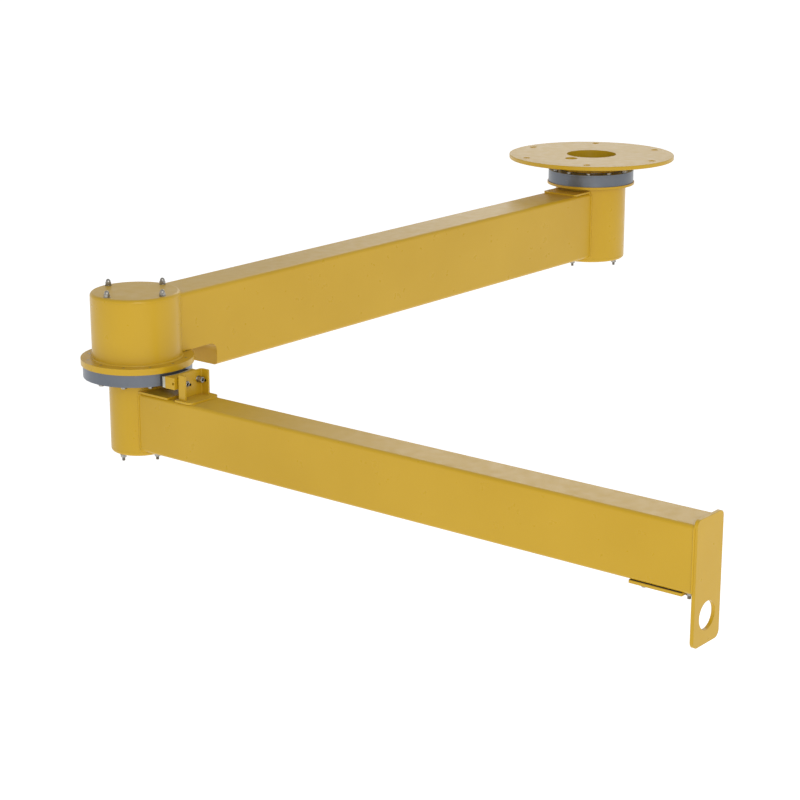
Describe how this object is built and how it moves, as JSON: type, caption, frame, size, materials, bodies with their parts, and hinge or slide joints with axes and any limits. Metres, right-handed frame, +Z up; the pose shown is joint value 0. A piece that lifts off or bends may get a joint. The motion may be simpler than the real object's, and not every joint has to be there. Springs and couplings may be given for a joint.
{
  "type": "ceiling swing arm",
  "caption": "Ceiling-hung swing arm: a round mounting plate carries a box boom on a slewing bearing, and a second, lower boom turns on a braked elbow bearing and ends in a drilled lug plate.",
  "frame": {"origin": "centre of the mounting plate's top face, where it meets the ceiling or beam", "axes": "+Z up, out of the mounting plate; +X from the ceiling pivot to the elbow; +Y along the second boom at rest"},
  "size_m": [2.3254, 1.824, 0.576],
  "materials": {
    "yellow_paint": "satin powder coat",
    "bearing_aluminium": "turned, satin",
    "zinc_fasteners": "zinc plated",
    "friction_pad": "moulded friction lining, matt",
    "backing_steel": "mill scale",
    "spring_steel": "oil tempered",
    "bearing_liner": "moulded polymer",
    "gasket_rubber": "matt"
  },
  "bodies": {
    "ceiling_mount": {"mounting_plate": "yellow_paint", "hub_spacer": "yellow_paint", "upper_inner_ring": "bearing_aluminium", "upper_inner_ring_screws": "zinc_fasteners"},
    "first_arm": {"upper_bearing_housing": "bearing_aluminium", "upper_bearing_cover_ring": "bearing_aluminium", "upper_bearing_liners": "bearing_liner", "upper_ring_bolts": "zinc_fasteners", "upper_column_flange": "yellow_paint", "upper_column_tube": "yellow_paint", "upper_column_lugs": "yellow_paint", "upper_column_cap": "yellow_paint", "upper_cap_studs": "zinc_fasteners", "upper_cap_washers": "zinc_fasteners", "upper_cap_nuts": "zinc_fasteners", "first_boom_tube": "yellow_paint", "recess_closing_plate": "yellow_paint", "upper_stiffener_plate": "yellow_paint", "elbow_drum_tube": "yellow_paint", "drum_flange": "yellow_paint", "drum_lid_lugs": "yellow_paint", "drum_lid": "yellow_paint", "drum_lid_studs": "zinc_fasteners", "drum_lid_washers": "zinc_fasteners", "drum_lid_cap_nuts": "zinc_fasteners", "lower_ring_bolts": "zinc_fasteners", "lower_bearing_housing": "bearing_aluminium", "lower_bearing_cover_ring": "bearing_aluminium", "lower_bearing_liners": "bearing_liner"},
    "second_arm": {"lower_inner_ring": "bearing_aluminium", "lower_inner_ring_screws": "zinc_fasteners", "lower_hub_flange": "yellow_paint", "lower_column_tube": "yellow_paint", "lower_column_lugs": "yellow_paint", "lower_column_cap": "yellow_paint", "lower_cap_studs": "zinc_fasteners", "lower_cap_washers": "zinc_fasteners", "lower_cap_nuts": "zinc_fasteners", "second_boom_tube": "yellow_paint", "lower_stiffener_plate": "yellow_paint", "end_plate": "yellow_paint", "cable_cover": "yellow_paint", "cable_cover_gasket": "gasket_rubber", "cable_cover_screws": "zinc_fasteners", "tip_bolts": "zinc_fasteners", "tip_nuts": "zinc_fasteners", "brake_bracket_channel": "yellow_paint", "brake_bracket_base": "yellow_paint"},
    "brake_shoe": {"brake_carrier": "yellow_paint", "brake_backing_plate": "backing_steel", "brake_pad": "friction_pad", "brake_studs": "zinc_fasteners", "brake_washers": "zinc_fasteners", "brake_nuts": "zinc_fasteners", "brake_springs": "spring_steel"}
  },
  "joints": [
    {"name": "ceiling_pivot", "type": "hinge", "parent": "ceiling_mount", "child": "first_arm", "pos_m": [0, 0, -0.064], "axis": [0, 0, 1], "continuous": true},
    {"name": "elbow_pivot", "type": "hinge", "parent": "first_arm", "child": "second_arm", "pos_m": [1.94, 0, -0.276], "axis": [0, 0, 1], "continuous": true},
    {"name": "brake_release", "type": "slide", "parent": "second_arm", "child": "brake_shoe", "axis": [0, 1, 0], "range_m": [0, 0.0025], "stiffness_N_per_m": 8000, "springref_m": -0.002, "deforming": ["brake_springs"]}
  ]
}
